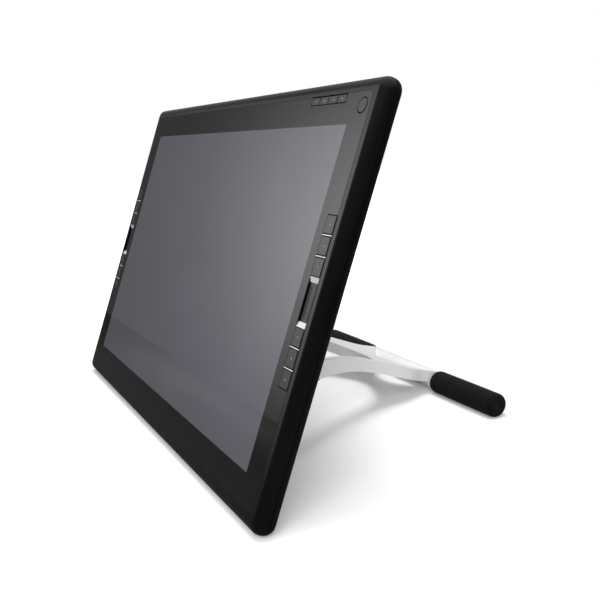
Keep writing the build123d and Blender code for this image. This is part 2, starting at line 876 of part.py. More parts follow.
def make_stud(side):
    """Rubber stud pressed into the leg's underside, standing a little proud of it."""
    growth = leg_wall_front - leg_wall_rear
    stud = stud_column(side, stud_radius) & under_crown(leg_wall_rear - stud_seat, growth)
    return stud - under_crown(leg_wall_rear + stud_height, growth)


def make_leg():
    """Cast aluminium leg: dished plate on four arms, hollow below, with ribs, two eyes and a rear bar."""
    tall = hinge_height + drop
    envelope = both_halves(extrude(leg_plan(0), amount=tall))
    envelope = (envelope & under_crown(0, 0)) - under_crown(leg_wall_rear, leg_wall_front - leg_wall_rear)
    hollow = both_halves(extrude(leg_plan(leg_rim), amount=tall)) & under_crown(leg_skin, 0)
    waist_share = (waist_front_share + waist_rear_share) / 2
    ribs = Pos(0, hinge_y + waist_share * reach, tall / 2) * Box(leg_rib, reach, tall)
    for side in (-1, 1):
        for across, along, turn in rib_shares:
            rib = Rot(0, 0, side * turn) * Box(leg_rib_length, leg_rib, tall)
            ribs += Pos(side * across * hinge_half_width, hinge_y + along * reach, tall / 2) * rib
        ribs += stud_column(side, stud_radius + stud_wall)
    leg = envelope - (hollow - ribs)
    for side in (-1, 1):
        x = side * hinge_half_width
        leg += cross_bar(x, hinge_y, hinge_height, eye_radius, eye_width)
        leg -= make_stud(side)
    leg += cross_bar(0, rod_y, grip_radius, bar_radius, 2 * (grip_inner - face_gap))
    bore_radius = pin_radius + pin_clearance
    for side in (-1, 1):
        leg -= cross_bar(side * hinge_half_width, hinge_y, hinge_height, bore_radius, 2 * eye_width)
    return leg - cross_bar(0, rod_y, grip_radius, rod_radius, 4 * grip_inner)


def make_grip(side):
    """Foam grip with rounded ends and a blind bore for the rod."""
    centre = side * (grip_inner + grip_length / 2)
    grip = cross_bar(centre, rod_y, grip_radius, grip_radius, grip_length)
    grip = fillet(grip.edges(), grip_round)
    inner = side * (grip_inner + (grip_length - rod_inset) / 2)
    return grip - cross_bar(inner, rod_y, grip_radius, rod_radius, grip_length - rod_inset)


def make_rod():
    """Steel rod through the leg's rear bar, its ends inside the grips."""
    return cross_bar(0, rod_y, grip_radius, rod_radius, 2 * (grip_inner + grip_length - rod_inset))


def write(name, shape, place):
    """Put a finished piece in its place and write its file."""
    export_step(place * shape, f"parts/{name}.step")


def write_tablet():
    """All pieces of the leaning tablet."""
    pieces = {
        "front_frame": make_front_frame(),
        "cover_glass": make_cover_glass(),
        "glass_seal": make_glass_seal(),
        "display_cell": make_display_cell(),
        "backlight_tray": make_backlight_tray(),
        "pen_sensor_board": make_sensor_board(),
        "shield_plate": make_shield_plate(),
        "chassis_plate": make_chassis_plate(),
        "board_standoffs": make_standoffs(),
        "main_board": make_main_board(),
        "backlight_driver_board": make_driver_board(),
        "rear_cover": make_rear_cover(),
        "video_socket": make_flat_socket("video"),
        "usb_socket": make_flat_socket("usb"),
        "dc_socket": make_dc_socket(),
        "power_key": make_power_key(),
        "menu_key_mat": make_menu_mat(),
        "menu_key_board": make_menu_board(),
        "housing_screws": make_housing_screws(),
        "bracket_screws": make_bracket_screws(),
        "lower_soles": Compound(children=[sole_solid(side, 0) for side in (-1, 1)]),
    }
    for side, word in ((1, "right"), (-1, "left")):
        pieces[f"key_mat_{word}"] = make_key_mat(side)
        pieces[f"key_board_{word}"] = make_key_board(side)
        pieces[f"touch_strip_{word}"] = make_touch_strip(side)
        pieces[f"strip_ramps_{word}"] = make_strip_ramps(side)
        pieces[f"key_dividers_{word}"] = make_key_dividers(side)
        pieces[f"hinge_bracket_{word}"] = make_hinge_bracket(side)
        pieces[f"hinge_pin_{word}"] = make_hinge_pin(side)
        pieces[f"friction_washers_{word}"] = make_washers(side)
        for n, y in enumerate(key_places(), start=1):
            pieces[f"key_{word}_{n}"] = key_cap_solid(side * column_x, y, key_width, key_height, key_corner)
    menu_width = menu_key_width - key_gap
    for n, x in enumerate(menu_places(), start=1):
        pieces[f"menu_key_{n}"] = key_cap_solid(x, menu_y, menu_width, menu_key_height, menu_corner)
    for name, shape in pieces.items():
        write(name, shape, tablet_place)


def write_leg():
    """All pieces of the leg behind the tablet."""
    place = Location((0, -middle_y, 0))
    write("leg", make_leg(), place)
    write("leg_studs", Compound(children=[make_stud(side) for side in (-1, 1)]), place)
    write("grip_rod", make_rod(), place)
    write("grip_right", make_grip(1), place)
    write("grip_left", make_grip(-1), place)


write_tablet()
write_leg()
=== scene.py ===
import math

import bmesh
import bpy
import numpy as np
from mathutils import Matrix, Vector


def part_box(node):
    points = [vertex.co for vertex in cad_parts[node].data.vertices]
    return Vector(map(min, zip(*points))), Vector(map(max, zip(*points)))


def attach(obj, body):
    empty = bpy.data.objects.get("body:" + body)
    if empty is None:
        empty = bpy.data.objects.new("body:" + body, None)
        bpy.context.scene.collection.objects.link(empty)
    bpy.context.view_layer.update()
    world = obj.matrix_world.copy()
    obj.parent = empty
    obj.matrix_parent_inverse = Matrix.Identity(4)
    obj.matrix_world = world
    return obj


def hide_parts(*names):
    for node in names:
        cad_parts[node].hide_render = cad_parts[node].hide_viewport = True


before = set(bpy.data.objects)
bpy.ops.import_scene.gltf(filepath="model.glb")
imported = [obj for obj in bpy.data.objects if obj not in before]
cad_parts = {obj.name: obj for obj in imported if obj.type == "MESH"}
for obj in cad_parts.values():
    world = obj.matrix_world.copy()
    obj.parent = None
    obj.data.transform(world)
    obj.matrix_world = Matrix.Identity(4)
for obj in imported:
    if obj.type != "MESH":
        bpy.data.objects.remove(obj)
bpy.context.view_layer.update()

# Housing: a front frame and a rear cover, both moulded in fine-grained black plastic and
# screwed together from behind. Their shade and gloss drift a little, as on any moulding.
CLOUD_SCALE, CLOUD_STOPS = 18.0, (0.3, 0.75)
GLOSS_BELOW, GLOSS_ABOVE = 0.05, 0.06
GRAIN_HEIGHT = 0.0002


def node_maker(tree):
    """A function that adds nodes to a tree, with their named inputs or settings."""
    def add(kind, **values):
        node = tree.nodes.new(kind)
        for key, value in values.items():
            if key in node.inputs:
                node.inputs[key].default_value = value
            else:
                setattr(node, key, value)
        return node

    return add


def new_material(name):
    """An empty node material with its principled shader, and functions that add and join nodes."""
    material = bpy.data.materials.new(name)
    material.use_nodes = True
    tree = material.node_tree
    shader = next(n for n in tree.nodes if n.type == "BSDF_PRINCIPLED")
    return material, shader, node_maker(tree), tree.links.new


def set_shader(shader, **values):
    """Numbers and colours that are the same all over go straight on the shader's own sockets."""
    for key, value in values.items():
        shader.inputs[key.replace("_", " ")].default_value = value


def noise(add, link, vector, scale, detail, roughness):
    """Cloudy noise over the given coordinates."""
    node = add("ShaderNodeTexNoise", Scale=scale, Detail=detail, Roughness=roughness)
    link(vector, node.inputs["Vector"])
    return node.outputs["Fac"]


def colour_ramp(add, link, source, stops):
    """A ramp through (place, colour) stops, driven by the source."""
    ramp = add("ShaderNodeValToRGB")
    elements = ramp.color_ramp.elements
    while len(elements) < len(stops):
        elements.new(0.5)
    for element, (place, colour) in zip(elements, stops):
        element.position = place
        element.color = (*colour, 1)
    link(source, ramp.inputs["Fac"])
    return ramp.outputs["Color"]


def map_range(add, link, source, old=(0.0, 1.0), new=(0.0, 1.0), **settings):
    """Carries the source from the old span of values over to the new one."""
    node = add("ShaderNodeMapRange", **settings)
    for name, value in zip(("From Min", "From Max", "To Min", "To Max"), (*old, *new)):
        node.inputs[name].default_value = value
    link(source, node.inputs["Value"])
    return node.outputs["Result"]


def bump(add, link, height, strength, distance):
    """Small relief that the height drives. Its node is handed back, so that another can lie under it."""
    node = add("ShaderNodeBump", Strength=strength, Distance=distance)
    link(height, node.inputs["Height"])
    return node


def dress(material, *names):
    """Puts a material on carried-over CAD nodes."""
    for name in names:
        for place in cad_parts[name].material_slots:
            place.material = material


def greys(dark, light):
    """A dark and a light neutral shade."""
    return (dark,) * 3, (light,) * 3


def moulded(name, shades, grain, rough, relief, **settings):
    """Moulded plastic: cloudy shade variation, fine spark-eroded grain and slightly uneven gloss."""
    material, shader, add, link = new_material(name)
    coords = add("ShaderNodeTexCoord").outputs["Object"]
    cloud = noise(add, link, coords, CLOUD_SCALE, 4.0, 0.6)
    fine = noise(add, link, coords, grain, 3.0, 0.55)
    link(colour_ramp(add, link, cloud, [*zip(CLOUD_STOPS, shades)]), shader.inputs["Base Color"])
    gloss = map_range(add, link, cloud, new=(rough - GLOSS_BELOW, rough + GLOSS_ABOVE))
    link(gloss, shader.inputs["Roughness"])
    link(bump(add, link, fine, relief, GRAIN_HEIGHT).outputs["Normal"], shader.inputs["Normal"])
    set_shader(shader, **settings)
    return material


housing = moulded("housing_black", greys(0.0014, 0.0026), grain=2600.0, rough=0.24, relief=0.1, IOR=1.37)
dress(housing, "front_frame", "rear_cover")

# Cover glass: one flat sheet, printed black on its inner face all round the picture, with
# a dark grey switched-off panel showing through the middle. It is bonded into the frame.
LEAN = math.radians(20.5)
PANEL_TURN = math.pi / 2 - LEAN
GLASS_THICKNESS = 0.002
PICTURE = (0.40824, 0.25515)
EDGE_SOFT = 0.0003
CELL_STOPS = [(0.25, (0.085, 0.084, 0.099)), (0.75, (0.094, 0.093, 0.11))]
PRINT_STOPS = [(0.3, (0.0035, 0.0035, 0.004)), (0.7, (0.005, 0.005, 0.0055))]
CELL_CLOUDS, PRINT_CLOUDS = 9.0, 14.0
PRINT_ROUGH, CELL_ROUGH = 0.3, 0.5
glass_low, glass_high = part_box("cover_glass")
glass_top = Vector((0, glass_high.y, glass_high.z))
glass_bottom = Vector((0, glass_low.y, glass_low.z))
glass_out = Vector((0, -math.cos(LEAN), math.sin(LEAN)))
GLASS_CENTRE = (glass_top + glass_bottom) / 2 + glass_out * GLASS_THICKNESS / 2


def panel_coords(add, link):
    """Object coordinates turned and moved so that x, y lie in the glass and z points out of it."""
    coords = add("ShaderNodeTexCoord")
    turn = Matrix.Rotation(-PANEL_TURN, 3, "X")
    mapping = add("ShaderNodeMapping")
    mapping.inputs["Rotation"].default_value = (-PANEL_TURN, 0, 0)
    mapping.inputs["Location"].default_value = -(turn @ GLASS_CENTRE)
    link(coords.outputs["Object"], mapping.inputs["Vector"])
    return mapping.outputs["Vector"]


def feed(link, value, place):
    """Leads a socket's value into an input, or puts a plain value there."""
    if isinstance(value, bpy.types.NodeSocket):
        link(value, place)
    else:
        place.default_value = value


def worked(add, link, operation, *values):
    """A sum, product or comparison of sockets and plain numbers."""
    node = add("ShaderNodeMath", operation=operation)
    for place, value in zip(node.inputs, values):
        feed(link, value, place)
    return node.outputs[0]


def blended(add, link, kind, factor, first, second):
    """The first value where the factor is 0 and the second where it is 1."""
    mix = add("ShaderNodeMix", data_type=kind)
    for name, value in (("Factor", factor), ("A", first), ("B", second)):
        feed(link, value, mix.inputs[name])
    return mix.outputs["Result"]


glass, glass_shader, add, link = new_material("cover_glass_print")
vector = panel_coords(add, link)
split = add("ShaderNodeSeparateXYZ")
link(vector, split.inputs["Vector"])
masks = []
for axis, size in zip("XY", PICTURE):
    away = worked(add, link, "ABSOLUTE", split.outputs[axis])
    masks.append(map_range(add, link, away, old=(size / 2, size / 2 - EDGE_SOFT)))
picture_mask = worked(add, link, "MULTIPLY", *masks)
cell_colour = colour_ramp(add, link, noise(add, link, vector, CELL_CLOUDS, 2.0, 0.5), CELL_STOPS)
print_colour = colour_ramp(add, link, noise(add, link, vector, PRINT_CLOUDS, 3.0, 0.5), PRINT_STOPS)
link(blended(add, link, "RGBA", picture_mask, print_colour, cell_colour), glass_shader.inputs["Base Color"])
haze = map_range(add, link, picture_mask, new=(PRINT_ROUGH, CELL_ROUGH))
link(haze, glass_shader.inputs["Roughness"])
set_shader(glass_shader, Specular_IOR_Level=0.0, Coat_Weight=1.0, Coat_Roughness=0.03, Coat_IOR=1.5)
dress(glass, "cover_glass")

# Stack behind the glass: bonding tape, liquid crystal cell, backlight tray, pen sensor and
# steel plates. Only their edges ever show, with the cover off.
CELL_EDGE_SHADES = (0.06, 0.06, 0.065), (0.08, 0.08, 0.085)
LIGHT_GUIDE_SHADES = (0.55, 0.56, 0.55), (0.65, 0.66, 0.66)
ZINC_SHADES = (0.5, 0.51, 0.52), (0.7, 0.71, 0.72)
STREAK_SCALE, STREAK_STOPS = 60.0, (0.25, 0.8)
STREAK_GLOSS = 0.07
STREAK_RELIEF, STREAK_HEIGHT = 0.12, 0.0001
tape = moulded("bonding_tape", greys(0.01, 0.016), grain=900.0, rough=0.8, relief=0.2)
dress(tape, "glass_seal")
cell = moulded("liquid_crystal_cell", CELL_EDGE_SHADES, grain=300.0, rough=0.2, relief=0.02)
dress(cell, "display_cell")
light_guide = moulded("light_guide", LIGHT_GUIDE_SHADES, grain=400.0, rough=0.3, relief=0.05)
dress(light_guide, "backlight_tray")


def sheet_metal(name, shades, rough, stretch):
    """Rolled or drawn metal: fine streaks along one direction in colour and gloss."""
    material, shader, add, link = new_material(name)
    coords = add("ShaderNodeTexCoord")
    stretched = add("ShaderNodeMapping")
    stretched.inputs["Scale"].default_value = stretch
    link(coords.outputs["Object"], stretched.inputs["Vector"])
    streak = noise(add, link, stretched.outputs["Vector"], STREAK_SCALE, 5.0, 0.65)
    link(colour_ramp(add, link, streak, [*zip(STREAK_STOPS, shades)]), shader.inputs["Base Color"])
    gloss = map_range(add, link, streak, new=(rough - STREAK_GLOSS, rough + STREAK_GLOSS))
    link(gloss, shader.inputs["Roughness"])
    height = bump(add, link, streak, STREAK_RELIEF, STREAK_HEIGHT)
    link(height.outputs["Normal"], shader.inputs["Normal"])
    set_shader(shader, Metallic=1.0)
    return material


zinc = sheet_metal("zinc_coated_sheet", ZINC_SHADES, rough=0.35, stretch=(1.0, 9.0, 9.0))
dress(zinc, "shield_plate", "chassis_plate", "friction_washers_right", "friction_washers_left")

# Circuit boards: green laminate with solder-mask sheen and faint copper tracks, on turned
# brass pillars. Silicone mats with domes lie on the boards of the keys.
TRACK_SCALE, TRACK_GAP = 160.0, 0.03
LAMINATE, LAMINATE_LIGHT, TRACK_EDGE = (0.012, 0.09, 0.04, 1), (0.016, 0.11, 0.05, 1), (0.05, 0.2, 0.07, 1)
BRASS_SHADES = (0.55, 0.38, 0.16), (0.75, 0.55, 0.28)
board, board_shader, add, link = new_material("circuit_laminate")
vector = panel_coords(add, link)
tracks = add("ShaderNodeTexBrick", offset=0.5)
tracks.inputs["Scale"].default_value = TRACK_SCALE
tracks.inputs["Mortar Size"].default_value = TRACK_GAP
tracks.inputs["Color1"].default_value = LAMINATE
tracks.inputs["Color2"].default_value = LAMINATE_LIGHT
tracks.inputs["Mortar"].default_value = TRACK_EDGE
link(vector, tracks.inputs["Vector"])
link(tracks.outputs["Color"], board_shader.inputs["Base Color"])
set_shader(board_shader, Roughness=0.35)
dress(board, "main_board", "backlight_driver_board", "pen_sensor_board", "menu_key_board",
      "key_board_right", "key_board_left")
brass = sheet_metal("turned_brass", BRASS_SHADES, rough=0.3, stretch=(1.0, 1.0, 30.0))
dress(brass, "board_standoffs")
silicone = moulded("silicone_mat", greys(0.4, 0.5), grain=500.0, rough=0.55, relief=0.1)
dress(silicone, "key_mat_right", "key_mat_left", "menu_key_mat")

# Express keys, menu keys and power key: matt dark grey caps with a fine grain, guided by
# their stems through the frame and pushed back by the silicone domes.
KEY_SHADES = (0.013, 0.013, 0.0135), (0.018, 0.018, 0.0185)
key_names = [f"key_{side}_{n}" for side in ("right", "left") for n in range(1, 7)]
menu_names = [f"menu_key_{n}" for n in range(1, 5)]
key_grey = moulded("key_grey", KEY_SHADES, grain=3200.0, rough=0.2, relief=0.05, IOR=1.45)
dress(key_grey, *key_names, *menu_names, "power_key")

# Marks on the keys: a small dimple in each key, filled with light grey paint that stands a
# hair below the cap's face. Each mark moves with its own key.
MARK_RADIUS = 0.00082
MARK_BELOW = 0.00004
MARK_THICKNESS = 0.00011
FACE_DEPTH = 1e-5
MERGE_WITHIN = 1e-7
MARK_SHADES = (0.19, 0.19, 0.2), (0.25, 0.25, 0.26)
mark_paint = moulded("mark_paint", MARK_SHADES, grain=4000.0, rough=0.5, relief=0.1)


def into_frame(points):
    """Points given in the glass's axes, as rows of an array, turned and moved into the object's frame."""
    turn = np.array(Matrix.Rotation(PANEL_TURN, 3, "X"))
    return points @ turn.T + np.array(GLASS_CENTRE)


def out_of_frame(points):
    """The way back: points of the object's frame in the glass's axes."""
    turn = np.array(Matrix.Rotation(PANEL_TURN, 3, "X"))
    return (points - np.array(GLASS_CENTRE)) @ turn


def node_points(name):
    """All corner points of a CAD node, as an array in the glass's axes."""
    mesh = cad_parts[name].data
    flat = np.empty(len(mesh.vertices) * 3)
    mesh.vertices.foreach_get("co", flat)
    return out_of_frame(flat.reshape(-1, 3))


def grid_piece(name, grids, material, body):
    """One smooth mesh from several grids of points (rows, columns, 3): neighbours are joined by quads, and
    a row whose points all coincide closes as a pole. Points that lie on one another are merged."""
    points, faces, start = [], [], 0
    for grid in grids:
        rows, columns = grid.shape[:2]
        index = start + np.arange(rows * columns).reshape(rows, columns)
        quads = np.stack((index[:-1, :-1], index[:-1, 1:], index[1:, 1:], index[1:, :-1]), axis=-1)
        points.append(grid.reshape(-1, 3))
        faces.append(quads.reshape(-1, 4))
        start += rows * columns
    mesh = bpy.data.meshes.new(name)
    mesh.from_pydata(np.concatenate(points).tolist(), [], np.concatenate(faces).tolist())
    sculpt = bmesh.new()
    sculpt.from_mesh(mesh)
    bmesh.ops.remove_doubles(sculpt, verts=sculpt.verts, dist=MERGE_WITHIN)
    bmesh.ops.recalc_face_normals(sculpt, faces=sculpt.faces)
    sculpt.to_mesh(mesh)
    sculpt.free()
    mesh.polygons.foreach_set("use_smooth", np.full(len(mesh.polygons), True))
    mesh.materials.append(material)
    piece = bpy.data.objects.new(name, mesh)
    bpy.context.scene.collection.objects.link(piece)
    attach(piece, body)
    return piece


def mark_disc(centre):
    """A lens in the key's dimple: height falls with the square of the distance from the middle, and the
    underside is flat."""
    shares = np.array([0.0, 0.5, 0.8, 1.0, 1.0, 0.0])
    share, angle = np.meshgrid(shares, np.linspace(0, 2 * np.pi, 25), indexing="ij")
    depth = MARK_BELOW + MARK_THICKNESS * np.array([0.0, 0.25, 0.64, 0.9, 1.0, 1.0])
    x = centre[0] + MARK_RADIUS * share * np.cos(angle)
    y = centre[1] + MARK_RADIUS * share * np.sin(angle)
    z = centre[2] - depth[:, None] + 0 * angle
    return into_frame(np.stack((x, y, z), axis=-1))


for name in key_names + menu_names:
    cap = node_points(name)
    front = cap[cap[:, 2] > cap[:, 2].max() - FACE_DEPTH]
    centre = (*((front.min(0) + front.max(0)) / 2)[:2], cap[:, 2].max())
    grid_piece(f"{name}_mark", [mark_disc(centre)], mark_paint, name)

# Touch strips and ramps: smooth black strips, each with a bright ramp at both ends that leads
# the finger down to it, all pressed into the bays of the frame.
SILVER_SHADES = (0.52, 0.52, 0.508), (0.59, 0.59, 0.577)
strip_black = moulded("touch_strip_black", greys(0.006, 0.009), grain=1500.0, rough=0.24, relief=0.05,
                      IOR=1.4)
dress(strip_black, "touch_strip_right", "touch_strip_left")
silver = moulded("silver_trim", SILVER_SHADES, grain=2000.0, rough=0.4, relief=0.05)
dress(silver, "strip_ramps_right", "strip_ramps_left")

# Bars between the keys: bright metal strips whose flanks are painted black, so that only the middle of
# each bar is bright; the black flanks are painted shade for the dark gaps beside the bars.
COLUMN_OFFSET = 0.0014
FIRST_BAR, KEY_PITCH = 0.032575, 0.01515
BAR_PLACES = (FIRST_BAR, FIRST_BAR + KEY_PITCH)
BAR_HALF = 0.00034
BAR_STOPS = [(0.3, (0.55, 0.55, 0.537)), (0.75, (0.63, 0.63, 0.616))]
BAR_BRUSHING = 900.0
# painted shade: both flanks of each bar are black for the shadowed gaps beside it
FLANK_SHADE_BLACK = (0.002, 0.002, 0.002, 1)
bar_trim, bar_shader, add, link = new_material("divider_bar")
split = add("ShaderNodeSeparateXYZ")
link(panel_coords(add, link), split.inputs["Vector"])
along = worked(add, link, "SUBTRACT", split.outputs["Y"], COLUMN_OFFSET)
folded = worked(add, link, "ABSOLUTE", along)
bright = [worked(add, link, "COMPARE", folded, place, BAR_HALF) for place in BAR_PLACES]
either = worked(add, link, "MAXIMUM", *bright)
brushed = noise(add, link, split.outputs["X"], BAR_BRUSHING, 3.0, 0.6)
shine = colour_ramp(add, link, brushed, BAR_STOPS)
link(blended(add, link, "RGBA", either, FLANK_SHADE_BLACK, shine), bar_shader.inputs["Base Color"])
set_shader(bar_shader, Roughness=0.45)
dress(bar_trim, "key_dividers_right", "key_dividers_left")

# Shade cords: thin black strips beside each column of keys and round the power key, painted shade for the
# dark gaps there. They are sunk into the glass at its edge and stand a hair above it.
SHADE_CORD_HALF_WIDTH, SHADE_CORD_HALF_HEIGHT, SHADE_CORD_TOP = 0.00058, 0.0002, 0.00006
SHADE_CORD_FROM_KEY = 0.00076
SHADE_CORD_TAPER = 0.0002
RING_HALF_WIDTH, RING_FROM_KEY = 0.0003, 0.0004
SHADE_CORD_MIDDLE = SHADE_CORD_TOP - SHADE_CORD_HALF_HEIGHT
# painted shade: black strips with no specular stand for the dark gaps beside the keys
gap_shade_black = moulded("gap_shade_strip", greys(0.0008, 0.0014), grain=2500.0, rough=0.9, relief=0.1,
                       Specular_IOR_Level=0.0)


def gap_shade_cord(x, low, high):
    """A flat oval section carried along a straight line: half width and half height are the cosine and the
    sine of one angle, and both shrink to nothing at the two ends."""
    along = np.array([low, low + SHADE_CORD_TAPER, high - SHADE_CORD_TAPER, high])
    size, angle = np.meshgrid(np.array([0.0, 1.0, 1.0, 0.0]), np.linspace(0, 2 * np.pi, 17), indexing="ij")
    return into_frame(np.stack((x + SHADE_CORD_HALF_WIDTH * size * np.cos(angle), along[:, None] + 0 * angle,
                                SHADE_CORD_MIDDLE + SHADE_CORD_HALF_HEIGHT * size * np.sin(angle)), axis=-1))


def gap_shade_ring(centre, radius):
    """The same oval section carried round a circle: the ring's radius swings by the half width with the
    cosine of the section's angle, and its height with the sine."""
    turn, angle = np.meshgrid(np.linspace(0, 2 * np.pi, 49), np.linspace(0, 2 * np.pi, 13), indexing="ij")
    reach = radius + RING_HALF_WIDTH * np.cos(angle)
    return into_frame(np.stack((centre[0] + reach * np.cos(turn), centre[1] + reach * np.sin(turn),
                                SHADE_CORD_MIDDLE + SHADE_CORD_HALF_HEIGHT * np.sin(angle)), axis=-1))


power_cap = node_points("power_key")
power_middle = (power_cap.min(0) + power_cap.max(0)) / 2
power_reach = (power_cap[:, 0].max() - power_cap[:, 0].min()) / 2
power_ring = gap_shade_ring(power_middle, power_reach + RING_FROM_KEY)
grid_piece("power_gap_shade", [power_ring], gap_shade_black, "tablet")
for side, word in ((1, "right"), (-1, "left")):
    column = np.concatenate([node_points(f"key_{word}_{n}") for n in range(1, 7)])
    key_side = column[:, 0].max() if side > 0 else column[:, 0].min()
    cord = gap_shade_cord(key_side + side * SHADE_CORD_FROM_KEY, column[:, 1].min(), column[:, 1].max())
    grid_piece(f"bay_gap_shade_{word}", [cord], gap_shade_black, "tablet")

# Sockets: steel bodies with a tongue in the mouth of each, and a black power inlet, all seated
# on the main board. Gold-plated contacts lie on both faces of the tongues.
CONTACT_PITCH = {"video": (0.00115, 13), "usb": (0.0016, 4)}
CONTACT_HALF_WIDTH, CONTACT_LENGTH, CONTACT_HEIGHT = 0.00028, 0.0065, 0.00012
CONTACT_INSET = 0.0016
SOCKET_MOUTH = -0.0766
TONGUE = {"video": (0.0, -0.0267, 0.001496), "usb": (0.03, -0.0268, 0.00153)}
GOLD_SHADES = (0.6, 0.42, 0.14), (0.8, 0.6, 0.25)
shell = sheet_metal("socket_shell", greys(0.45, 0.65), rough=0.3, stretch=(1.0, 1.0, 8.0))
dress(shell, "video_socket", "usb_socket")
inlet = moulded("inlet_black", greys(0.01, 0.016), grain=900.0, rough=0.45, relief=0.1)
dress(inlet, "dc_socket")
gold = sheet_metal("gold_contacts", GOLD_SHADES, rough=0.25, stretch=(1.0, 8.0, 1.0))


def contact_bar(x, face, out):
    """A half-round bar on a tongue's face: width is the cosine and height the sine of one angle, and both
    shrink to nothing at the two ends."""
    along = np.array([0.0, 0.03, 0.97, 1.0])
    swell = np.array([0.0, 1.0, 1.0, 0.0])
    size, angle = np.meshgrid(swell, np.linspace(0, np.pi, 7), indexing="ij")
    y = SOCKET_MOUTH + CONTACT_INSET + CONTACT_LENGTH * along[:, None] + 0 * angle
    return into_frame(np.stack((x + CONTACT_HALF_WIDTH * size * np.cos(angle), y,
                                face + out * CONTACT_HEIGHT * size * np.sin(angle)), axis=-1))


for kind, (pitch, count) in CONTACT_PITCH.items():
    middle_x, middle_z, half_thickness = TONGUE[kind]
    bars = [contact_bar(middle_x + (n - (count - 1) / 2) * pitch, middle_z + out * half_thickness, out)
            for n in range(count) for out in (1, -1)]
    grid_piece(f"{kind}_contacts", bars, gold, "tablet")

# Screws: black oxide steel, with flat round heads, on the housing and the brackets. The heads have no recess
# cut, and a thin dark six-lobed patch on each is painted shade that stands for one.
HOUSING_X, HOUSING_Y, HOUSING_SHARE, HOUSING_HEAD = 0.22932, 0.153375, 0.62, -0.0174
BRACKET_X, BRACKET_Y, BRACKET_STEP, BRACKET_HEAD = 0.126, -0.054, (0.016, 0.012), -0.0399
RECESS_RADIUS, RECESS_PROUD = 0.00135, 0.00004
RECESS_LOBES, LOBE_SHARE = 6, 0.13
OXIDE_SHADES = (0.02, 0.02, 0.022), (0.06, 0.06, 0.065)
screw_black = sheet_metal("black_oxide", OXIDE_SHADES, rough=0.4, stretch=(6.0, 6.0, 6.0))
dress(screw_black, "housing_screws", "bracket_screws")
# painted shade: the near-black patches stand for the shade inside driver recesses
recess_shade_dark = moulded("painted_recess_shade", greys(0.001, 0.002), grain=900.0, rough=0.7, relief=0.1)


def painted_recess_shade(x, y, head):
    """A thin six-lobed patch on a screw head, painted shade for a driver recess: the radius swings with six
    times the angle, and the patch stands proud of the head, most just inside its rim and a little less in the
    middle."""
    share, angle = np.meshgrid(np.array([1.0, 0.96, 0.6, 0.0]), np.linspace(0, 2 * np.pi, 49), indexing="ij")
    radius = RECESS_RADIUS * share * (1 + LOBE_SHARE * np.cos(RECESS_LOBES * angle))
    proud = RECESS_PROUD * np.array([0.0, 1.0, 0.8, 0.7])
    return into_frame(np.stack((x + radius * np.cos(angle), y + radius * np.sin(angle),
                                head - proud[:, None] + 0 * angle), axis=-1))


housing_places = [(0, up * HOUSING_Y) for up in (1, -1)]
housing_places += [(side * HOUSING_X, up * HOUSING_Y * share) for side in (1, -1) for up in (1, -1)
                   for share in (1, HOUSING_SHARE)]
bracket_places = [(hinge * BRACKET_X + side * BRACKET_STEP[0], BRACKET_Y + up * BRACKET_STEP[1])
                  for hinge in (1, -1) for side in (1, -1) for up in (1, -1)]
recess_patches = [painted_recess_shade(x, y, HOUSING_HEAD) for x, y in housing_places]
recess_patches += [painted_recess_shade(x, y, BRACKET_HEAD) for x, y in bracket_places]
grid_piece("screw_recess_shades", recess_patches, recess_shade_dark, "tablet")

# Rubber: two curved soles let into the rear lower edge and the two studs under the leg's front
# arms, moulded in matt black rubber.
rubber = moulded("sole_rubber", greys(0.006, 0.014), grain=1200.0, rough=0.8, relief=0.3)
dress(rubber, "lower_soles", "leg_studs")

# Hinges: grey powder-coated brackets, screwed to the rear cover, and the bright steel pins
# that carry the leg. The rod of the grips is the same bright steel.
POWDER_SHADES = (0.16, 0.16, 0.165), (0.22, 0.22, 0.225)
STEEL_SHADES = (0.45, 0.45, 0.46), (0.7, 0.7, 0.7)
powder = moulded("powder_coat", POWDER_SHADES, grain=900.0, rough=0.55, relief=0.35)
dress(powder, "hinge_bracket_right", "hinge_bracket_left")
steel = sheet_metal("bright_bar", STEEL_SHADES, rough=0.25, stretch=(12.0, 1.0, 1.0))
dress(steel, "hinge_pin_right", "hinge_pin_left", "grip_rod")

# Leg: one aluminium casting with two arms to the hinges, painted light silver grey, with a
# faint orange-peel surface.
LEG_STOPS = [(0.3, (0.9, 0.9, 0.895)), (0.75, (0.95, 0.95, 0.94))]
PEEL_SCALE, PEEL_RELIEF, PEEL_HEIGHT = 420.0, 0.08, 0.0002
LEG_CLOUDS = 12.0
leg_paint, leg_shader, add, link = new_material("leg_paint")
coords = add("ShaderNodeTexCoord").outputs["Object"]
peel = noise(add, link, coords, PEEL_SCALE, 2.0, 0.5)
tone = noise(add, link, coords, LEG_CLOUDS, 4.0, 0.6)
link(colour_ramp(add, link, tone, LEG_STOPS), leg_shader.inputs["Base Color"])
link(bump(add, link, peel, PEEL_RELIEF, PEEL_HEIGHT).outputs["Normal"], leg_shader.inputs["Normal"])
set_shader(leg_shader, Roughness=0.38, Coat_Weight=0.2, Coat_Roughness=0.2)
dress(leg_paint, "leg")

